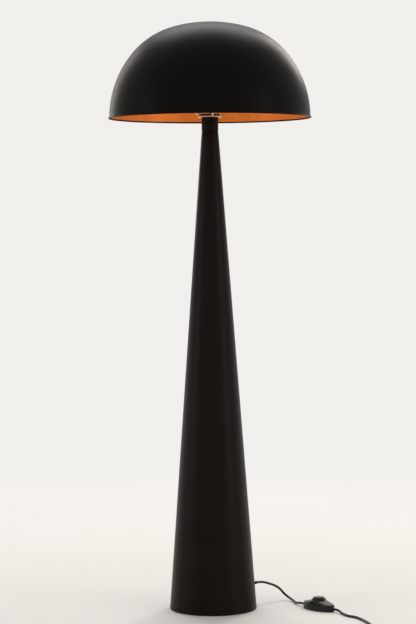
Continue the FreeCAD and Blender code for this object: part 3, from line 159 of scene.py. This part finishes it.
# The plug: the back of its body, its direction, and the length of its grip.
PLUG_BACK = Vector((0.244, -0.352, 0.00685))
PLUG_TURN = 172
PLUG_GRIP = 0.024


def coil_points():
    """Control points of the winding: in along the floor, up where it reverses, out on top.

    It climbs a layer in the half turn around its middle. The points stand a little outward of
    the cord, which runs inside their corners.
    """
    points = []
    middle = COIL_TURNS / 2
    outward = 1 / math.cos(math.pi / COIL_POINTS_PER_TURN)
    for i in range(round(COIL_TURNS * COIL_POINTS_PER_TURN)):
        turn = (i + 0.5) / COIL_POINTS_PER_TURN
        climb = min(max(2 * (turn - middle) + 0.5, 0.0), 1.0)
        radius = (COIL_RADIUS - COIL_PITCH * (middle - abs(turn - middle))) * outward
        height = CORD_FLOOR + COIL_PITCH * (1 - math.cos(math.pi * climb)) / 2
        points.append(COIL_MIDDLE + heading(-360 * turn) * radius + UP * height)
    return points


def cord_curve(name, points):
    """A round cord along one smooth open spline, whose points carry the cord's radius."""
    data = bpy.data.curves.new(name, "CURVE")
    data.dimensions = "3D"
    data.resolution_u = CORD_STEPS
    data.bevel_depth = 1.0
    data.bevel_resolution = CORD_ROUNDNESS
    data.use_fill_caps = True
    spline = data.splines.new("NURBS")
    spline.points.add(len(points) - 1)
    for spot, point in zip(spline.points, points):
        spot.co = (*point, 1)
        spot.radius = CORD_DIAMETER / 2
    spline.order_u = CORD_ORDER
    spline.use_endpoint_u = True
    spline.use_smooth = True
    return new_object(name, data)


def make_lead():
    """From the gland to the foot switch."""
    ahead = heading(SWITCH_TURN)
    mouth = SWITCH_MIDDLE - ahead * SWITCH_MOUTH + UP * SWITCH_CORD_HEIGHT
    points = [GLAND_TIP, GLAND_TIP + GLAND_WAY * STRAIGHT_OUT]
    points += LEAD_ROUTE + [mouth - ahead * STRAIGHT_OUT, mouth]
    cord = cord_curve("mains_cord_lead", points)
    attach(cord, STAND)
    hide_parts("cord_lead")


def make_run():
    """From the foot switch along the floor and through the coil to the plug."""
    ahead = heading(SWITCH_TURN)
    mouth = SWITCH_MIDDLE + ahead * SWITCH_MOUTH + UP * SWITCH_CORD_HEIGHT
    out = heading(PLUG_TURN)
    plug_mouth = PLUG_BACK - out * PLUG_GRIP
    coil_end = COIL_MIDDLE + Vector((0, -COIL_RADIUS, CORD_FLOOR + COIL_PITCH))
    points = [mouth, mouth + ahead * STRAIGHT_OUT] + RUN_ROUTE
    points += [COIL_MIDDLE + Vector((COIL_RADIUS, COIL_LEAD, CORD_FLOOR))]
    points += coil_points()
    points += [coil_end + Vector((-COIL_LEAD, 0, 0))]
    points += TAIL_ROUTE + [plug_mouth - out * STRAIGHT_OUT, plug_mouth]
    cord = cord_curve("mains_cord_run", points)
    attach(cord, STAND)
    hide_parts("cord_run", "cord_coil", "cord_tail")


# ---------------------------------------------------------------- foot switch spring

# The spring under the button: the radius of its wire's middle line, the wire's thickness, the
# turns, and how finely the wire is divided along a turn and around.
SPRING_RADIUS = 0.0065
SPRING_WIRE = 0.0009
SPRING_TURNS = 5
SPRING_STEPS = 24
SPRING_SIDES = 10

# Its ends, to a hundredth of a millimetre.
SPRING_FOOT, SPRING_TOP = (round(corner[2], 5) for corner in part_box("switch_spring"))


def spring_ring(turn, low, climb):
    """Points round the wire at a number of turns from the foot of the spring."""
    out = heading(SWITCH_TURN + 360 * turn)
    along = out.cross(-UP) + UP * (climb / (math.tau * SPRING_RADIUS))
    side = along.normalized().cross(out)
    middle = SWITCH_MIDDLE + out * SPRING_RADIUS + UP * (low + climb * turn)
    angles = [math.tau * k / SPRING_SIDES for k in range(SPRING_SIDES)]
    return [middle + (out * math.cos(a) + side * math.sin(a)) * SPRING_WIRE / 2 for a in angles]


def spring_faces(rings):
    """Quads between neighbouring rings of points, and a cap at each end."""
    faces = []
    for i in range(rings - 1):
        for k in range(SPRING_SIDES):
            a = i * SPRING_SIDES + k
            b = i * SPRING_SIDES + (k + 1) % SPRING_SIDES
            faces.append((a, b, b + SPRING_SIDES, a + SPRING_SIDES))
    faces.append(tuple(reversed(range(SPRING_SIDES))))
    faces.append(tuple(range((rings - 1) * SPRING_SIDES, rings * SPRING_SIDES)))
    return faces


def make_spring():
    """The spring under the foot button, drawn at the length of the solid spring; the real one shortens
    as the button goes down.
    """
    low = SPRING_FOOT + SPRING_WIRE / 2
    climb = (SPRING_TOP - SPRING_WIRE / 2 - low) / SPRING_TURNS
    rings = SPRING_TURNS * SPRING_STEPS + 1
    points = []
    for i in range(rings):
        points += spring_ring(i / SPRING_STEPS, low, climb)
    mesh = bpy.data.meshes.new("button_spring")
    mesh.from_pydata(points, [], spring_faces(rings))
    for face in mesh.polygons[:-2]:
        face.use_smooth = True
    spring = new_object("button_spring", mesh)
    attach(spring, STAND)
    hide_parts("switch_spring")
    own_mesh(spring)


# ---------------------------------------------------------------- shader nodes

# Scales of noise are in repeats per metre, depths of relief in metres.

# The numbers of a colour mix's sockets.
MIX_FIRST = 6
MIX_SECOND = 7
MIX_RESULT = 2

MATERIALS = {}


def new_material(slot):
    """A material for a slot: gives its node tree and its Principled shader."""
    material = bpy.data.materials.new(slot)
    material.use_nodes = True
    MATERIALS[slot] = material
    return material.node_tree, material.node_tree.nodes["Principled BSDF"]


def set_inputs(node, **inputs):
    """Sets a node's inputs, whose names have _ for each space."""
    for key, value in inputs.items():
        node.inputs[key.replace("_", " ")].default_value = value


def add(tree, kind, **inputs):
    """A new node with some of its inputs set."""
    node = tree.nodes.new(kind)
    set_inputs(node, **inputs)
    return node


def object_space(tree):
    """Texture coordinates in metres, fixed to the piece."""
    return tree.nodes.new("ShaderNodeTexCoord").outputs["Object"]


def noise(tree, scale, detail=2.0, roughness=0.5, vector=None):
    """Soft noise from 0 to 1, fixed to the piece."""
    node = add(tree, "ShaderNodeTexNoise", Scale=scale, Detail=detail, Roughness=roughness)
    tree.links.new(vector or object_space(tree), node.inputs["Vector"])
    return node.outputs["Fac"]


def spread(tree, value, low, high, start=0.3, end=0.7):
    """Maps a value's range from start to end to the range from low to high."""
    node = add(tree, "ShaderNodeMapRange", From_Min=start, From_Max=end, To_Min=low, To_Max=high)
    tree.links.new(value, node.inputs["Value"])
    return node.outputs["Result"]


def blend_colours(tree, value, first, second, start=0.35, end=0.65):
    """The first colour where the value is at start, the second where it is at end."""
    ramp = tree.nodes.new("ShaderNodeValToRGB")
    stops = ramp.color_ramp.elements
    for stop, position, colour in zip(stops, (start, end), (first, second)):
        stop.position = position
        stop.color = (*colour, 1)
    tree.links.new(value, ramp.inputs["Fac"])
    return ramp.outputs["Color"]


def bump(tree, shader, height, distance, strength=1.0, below=None):
    """Relief of a depth in metres, on top of the relief below."""
    node = add(tree, "ShaderNodeBump", Strength=strength, Distance=distance)
    tree.links.new(height, node.inputs["Height"])
    if below is not None:
        tree.links.new(below, node.inputs["Normal"])
    tree.links.new(node.outputs["Normal"], shader.inputs["Normal"])
    return node.outputs["Normal"]


def calculate(tree, operation, first, second):
    """Joins two values by an operation, such as MAXIMUM."""
    node = tree.nodes.new("ShaderNodeMath")
    node.operation = operation
    tree.links.new(first, node.inputs[0])
    tree.links.new(second, node.inputs[1])
    return node.outputs["Value"]


def mixed(tree, factor, first, second):
    """The first shader where the factor is 0, the second where it is 1."""
    node = tree.nodes.new("ShaderNodeMixShader")
    tree.links.new(factor, node.inputs["Fac"])
    tree.links.new(first, node.inputs[1])
    tree.links.new(second, node.inputs[2])
    return node.outputs["Shader"]


# ---------------------------------------------------------------- paint, plastic and rubber

# The patches in which the colour and the gloss drift, and the orange peel.
DRIFT_SCALE = 14
GLOSS_SCALE = 60
PEEL_SCALE = 900
PEEL_DEPTH = 0.00004


def grey(level):
    """A colour without hue."""
    return (level, level, level)


def coated(slot, dark, light, roughness, peel=PEEL_DEPTH, specular=0.5, uneven=0.04):
    """Painted or moulded surface: slight colour drift, uneven gloss, fine orange peel."""
    tree, shader = new_material(slot)
    set_inputs(shader, Specular_IOR_Level=specular)
    drift = noise(tree, DRIFT_SCALE, detail=4)
    tree.links.new(blend_colours(tree, drift, dark, light), shader.inputs["Base Color"])
    gloss = noise(tree, GLOSS_SCALE, detail=5)
    dullness = spread(tree, gloss, roughness - uneven, roughness + uneven)
    tree.links.new(dullness, shader.inputs["Roughness"])
    bump(tree, shader, noise(tree, PEEL_SCALE, detail=2), peel)


def black_enamel(slot, dark, light, specular):
    """Smooth black paint."""
    coated(slot, dark, light, roughness=0.38, peel=0.00002, specular=specular, uneven=0.012)


def black_plastic(slot, roughness):
    """Black moulded plastic, a little warm."""
    coated(slot, (0.0060, 0.0045, 0.0040), (0.0095, 0.0072, 0.0065), roughness, specular=0.3)


def make_coated():
    """The painted, moulded and rubber surfaces."""
    black_enamel("black_paint", (0.0060, 0.0027, 0.0018), (0.0082, 0.0036, 0.0024), specular=0.08)
    black_enamel("shade_paint", (0.0026, 0.0018, 0.0017), (0.0036, 0.0023, 0.0021), specular=0.05)
    black_plastic("black_plastic", roughness=0.5)
    black_plastic("cord_sheath", roughness=0.36)
    black_plastic("holder_plastic", roughness=0.42)
    black_plastic("switch_plastic", roughness=0.36)
    black_plastic("button_plastic", roughness=0.33)
    black_plastic("plug_plastic", roughness=0.45)
    # The black fibre is made almost lightless, darker and duller than the other blacks, so that the
    # seam ring shows as a dark band: painted shade of the groove it sits in.
    coated("black_fibre", grey(0.002), grey(0.004), roughness=0.8, specular=0.05)
    coated("foot_rubber", grey(0.018), grey(0.03), roughness=0.82, peel=0.00008)
    coated("pad_rubber", grey(0.014), grey(0.024), roughness=0.75)
    coated("core_insulation", (0.09, 0.04, 0.025), (0.12, 0.055, 0.035), roughness=0.4)
    coated("white_insulator", (0.72, 0.70, 0.66), (0.80, 0.78, 0.74), roughness=0.5)
    coated("bulb_collar_plastic", (0.78, 0.78, 0.77), (0.84, 0.84, 0.83), roughness=0.35)


# ---------------------------------------------------------------- metal

# The depth of the scratches for the width of a grain, the darkest grain's share of the colour,
# and the smoothest and the roughest grain's share of the roughness.
SCRATCH_SLOPE = 0.0004
GRAIN_DARK = 0.93
GRAIN_SMOOTH = 0.75
GRAIN_ROUGH = 1.3


def metal(slot, colour, roughness, stretch=(1, 1, 1), grain=400, metallic=1.0, scratched=True):
    """Bare metal whose grain of a given scale is finer along an axis with a larger stretch."""
    tree, shader = new_material(slot)
    set_inputs(shader, Metallic=metallic)
    mapping = add(tree, "ShaderNodeMapping", Scale=stretch)
    tree.links.new(object_space(tree), mapping.inputs["Vector"])
    streaks = noise(tree, grain, detail=5, roughness=0.6, vector=mapping.outputs["Vector"])
    darker = tuple(c * GRAIN_DARK for c in colour)
    tint = blend_colours(tree, streaks, darker, colour, start=0.3, end=0.6)
    tree.links.new(tint, shader.inputs["Base Color"])
    dullness = spread(tree, streaks, roughness * GRAIN_SMOOTH, roughness * GRAIN_ROUGH)
    tree.links.new(dullness, shader.inputs["Roughness"])
    if scratched:
        bump(tree, shader, streaks, SCRATCH_SLOPE / grain)


def make_metals():
    """The bare metals: plated, turned, polished and drawn."""
    metal("zinc_plate", (0.60, 0.60, 0.61), roughness=0.38, stretch=(1, 12, 1), grain=60)
    metal("zinc_screws", (0.66, 0.66, 0.66), roughness=0.28)
    metal("brass_parts", (0.78, 0.56, 0.24), roughness=0.25)
    metal(
        "polished_metal",
        (0.80, 0.60, 0.38),
        roughness=0.24,
        grain=40,
        metallic=0.8,
        scratched=False,
    )
    metal("spring_steel", (0.62, 0.62, 0.63), roughness=0.25)
    metal("pin_metal", (0.80, 0.78, 0.74), roughness=0.18)
    metal("bulb_cap_metal", (0.80, 0.80, 0.79), roughness=0.25)


# ---------------------------------------------------------------- copper-gold lining

# The two colours of the mottling, the colour of the flecks, and how much of it they show.
LINING_DARK = (0.84, 0.25, 0.026)
LINING_LIGHT = (0.95, 0.325, 0.038)
LINING_FLECK = (1.0, 0.45, 0.09)
FLECK_SHARE = 0.35

CLOUD_SCALE = 26
CLOUD_DEPTH = 0.0003
FLECK_SCALE = 1500
FLECK_DEPTH = 0.00002


def make_copper_lining():
    """Satin copper-gold with soft mottling and fine flecks, as of a metallic lacquer."""
    tree, shader = new_material("copper_lining")
    set_inputs(shader, Metallic=0.4)
    cloudy = noise(tree, CLOUD_SCALE, detail=6, roughness=0.62)
    flecks = noise(tree, FLECK_SCALE, detail=1)
    base = blend_colours(tree, cloudy, LINING_DARK, LINING_LIGHT, start=0.36, end=0.64)
    mix = tree.nodes.new("ShaderNodeMix")
    mix.data_type = "RGBA"
    share = spread(tree, flecks, 0.0, FLECK_SHARE, start=0.52, end=0.7)
    tree.links.new(share, mix.inputs["Factor"])
    tree.links.new(base, mix.inputs[MIX_FIRST])
    mix.inputs[MIX_SECOND].default_value = (*LINING_FLECK, 1)
    tree.links.new(mix.outputs[MIX_RESULT], shader.inputs["Base Color"])
    tree.links.new(spread(tree, cloudy, 0.36, 0.5), shader.inputs["Roughness"])
    below = bump(tree, shader, cloudy, CLOUD_DEPTH, strength=0.5)
    bump(tree, shader, flecks, FLECK_DEPTH, strength=0.6, below=below)


# ---------------------------------------------------------------- opal glass

OPAL_SCALE = 40
OPAL_DARK = (0.82, 0.81, 0.78)
OPAL_LIGHT = (0.87, 0.86, 0.83)


def make_opal_glass():
    """Opal bulb glass: white, slightly see-through, with a smooth outer face."""
    tree, shader = new_material("opal_glass")
    set_inputs(shader, Subsurface_Weight=0.3, Subsurface_Scale=0.01)
    set_inputs(shader, Coat_Weight=0.6, Coat_Roughness=0.05)
    drift = noise(tree, OPAL_SCALE, detail=3)
    tint = blend_colours(tree, drift, OPAL_DARK, OPAL_LIGHT)
    tree.links.new(tint, shader.inputs["Base Color"])
    tree.links.new(spread(tree, drift, 0.08, 0.14), shader.inputs["Roughness"])


# ---------------------------------------------------------------- cast counterweight

SAND_SCALE = 420
SAND_DEPTH = 0.0003
SAND_DARK = (0.085, 0.083, 0.08)
SAND_LIGHT = (0.15, 0.148, 0.145)


def make_cast_weight():
    """Cast iron under a coat of dull primer: coarse sand texture."""
    tree, shader = new_material("cast_weight")
    set_inputs(shader, Metallic=0.25)
    sand = noise(tree, SAND_SCALE, detail=6, roughness=0.65)
    tint = blend_colours(tree, sand, SAND_DARK, SAND_LIGHT)
    tree.links.new(tint, shader.inputs["Base Color"])
    tree.links.new(spread(tree, sand, 0.62, 0.85), shader.inputs["Roughness"])
    bump(tree, shader, sand, SAND_DEPTH)


# ---------------------------------------------------------------- dressing


def dress(piece, slot):
    """Puts the slot's material on every face of the piece."""
    piece.data.materials.clear()
    piece.data.materials.append(MATERIALS[slot])


def dress_all():
    """Each solid in the material of its slot, and the pieces made here in theirs."""
    for part in frame["record"]["subparts"]:
        dress(nodes[part["node"]], part["material_slot"])
    for name in ("mains_cord_lead", "mains_cord_run"):
        dress(bpy.data.objects[name], "cord_sheath")
    dress(bpy.data.objects["button_spring"], "spring_steel")


# ---------------------------------------------------------------- floor and light

# The surroundings, and the distances between which the floor fades into them.
PALE = (0.88, 0.868, 0.845, 1)
FADE_START = 0.8
FADE_END = 3.2

FLOOR_RADIUS = 40.0
FLOOR_SIDES = 96
FLOOR_SCALE = 3
FLOOR_DARK = (0.765, 0.757, 0.742)
FLOOR_LIGHT = (0.78, 0.772, 0.757)

DAYLIGHT = (1.0, 0.985, 0.965, 1)
DAYLIGHT_STRENGTH = 0.55


def seen_directly(tree):
    """1 for rays that show the surroundings: straight, mirrored or through glass."""
    rays = tree.nodes.new("ShaderNodeLightPath").outputs
    straight_or_mirrored = calculate(tree, "MAXIMUM", rays["Is Camera Ray"], rays["Is Glossy Ray"])
    return calculate(tree, "MAXIMUM", straight_or_mirrored, rays["Is Transmission Ray"])


def make_floor_material():
    """A pale matt floor that fades into the surroundings and can be looked through from below."""
    tree, shader = new_material("floor")
    set_inputs(shader, Roughness=0.7)
    drift = noise(tree, FLOOR_SCALE, detail=3)
    tint = blend_colours(tree, drift, FLOOR_DARK, FLOOR_LIGHT)
    tree.links.new(tint, shader.inputs["Base Color"])
    distance = tree.nodes.new("ShaderNodeVectorMath")
    distance.operation = "LENGTH"
    tree.links.new(object_space(tree), distance.inputs[0])
    fade = spread(tree, distance.outputs["Value"], 0, 1, start=FADE_START, end=FADE_END)
    hidden = calculate(tree, "MULTIPLY", fade, seen_directly(tree))
    far = add(tree, "ShaderNodeEmission", Color=PALE, Strength=1.0)
    surface = mixed(tree, hidden, shader.outputs["BSDF"], far.outputs["Emission"])
    below = tree.nodes.new("ShaderNodeNewGeometry").outputs["Backfacing"]
    clear = tree.nodes.new("ShaderNodeBsdfTransparent").outputs["BSDF"]
    output = tree.nodes["Material Output"]
    tree.links.new(mixed(tree, below, surface, clear), output.inputs["Surface"])


def make_stage():
    """A round floor, wide enough to reach the horizon."""
    rim = [heading(360 * i / FLOOR_SIDES) * FLOOR_RADIUS for i in range(FLOOR_SIDES)]
    mesh = bpy.data.meshes.new("floor")
    mesh.from_pydata(rim, [], [list(range(FLOOR_SIDES))])
    floor = new_object("floor", mesh)
    make_floor_material()
    dress(floor, "floor")


def make_world():
    """Pale surroundings that give even light from all sides."""
    world = bpy.data.worlds.new("studio")
    world.use_nodes = True
    tree = world.node_tree
    daylight = tree.nodes["Background"]
    set_inputs(daylight, Color=DAYLIGHT, Strength=DAYLIGHT_STRENGTH)
    shown = add(tree, "ShaderNodeBackground", Color=PALE, Strength=1.0)
    surroundings = mixed(
        tree, seen_directly(tree), daylight.outputs["Background"], shown.outputs["Background"]
    )
    tree.links.new(surroundings, tree.nodes["World Output"].inputs["Surface"])
    bpy.context.scene.world = world


def area_light(name, place, target, size, power, colour):
    """A rectangular lamp that shines from its place towards the target, seen only mirrored."""
    data = bpy.data.lights.new(name, "AREA")
    data.shape = "RECTANGLE"
    data.size, data.size_y = size
    data.energy = power
    data.color = colour
    light = new_object(name, data)
    light.visible_camera = False
    light.location = place
    light.rotation_euler = (Vector(target) - Vector(place)).to_track_quat("-Z", "Y").to_euler()


def make_light():
    """A soft lamp from above, one at each side, and one behind each side for the edges."""
    area_light(
        "top",
        place=(0, 2.4, 4.2),
        target=(0, 0, 0),
        size=(3.2, 2.0),
        power=78,
        colour=(1, 0.985, 0.965),
    )
    area_light(
        "key",
        place=(3.0, -1.5, 1.3),
        target=(0, 0, 0.8),
        size=(0.9, 2.6),
        power=18,
        colour=(1, 0.95, 0.89),
    )
    area_light(
        "fill",
        place=(-3.2, -0.9, 1.3),
        target=(0, 0, 0.8),
        size=(0.9, 2.6),
        power=12,
        colour=(1, 0.96, 0.92),
    )
    area_light(
        "edge_right",
        place=(1.7, 3.4, 3.0),
        target=(0, 0, 1.1),
        size=(0.8, 1.8),
        power=36,
        colour=(1, 0.92, 0.82),
    )
    area_light(
        "edge_left",
        place=(-2.0, 3.2, 2.2),
        target=(0, 0, 1.0),
        size=(0.7, 2.2),
        power=18,
        colour=(1, 0.94, 0.86),
    )


# ---------------------------------------------------------------- lamp, stage and end

make_camera()
make_lead()
make_run()
make_spring()
make_coated()
make_metals()
make_copper_lining()
make_opal_glass()
make_cast_weight()
dress_all()
make_stage()
make_world()
make_light()
bpy.context.scene.view_settings.view_transform = "Standard"
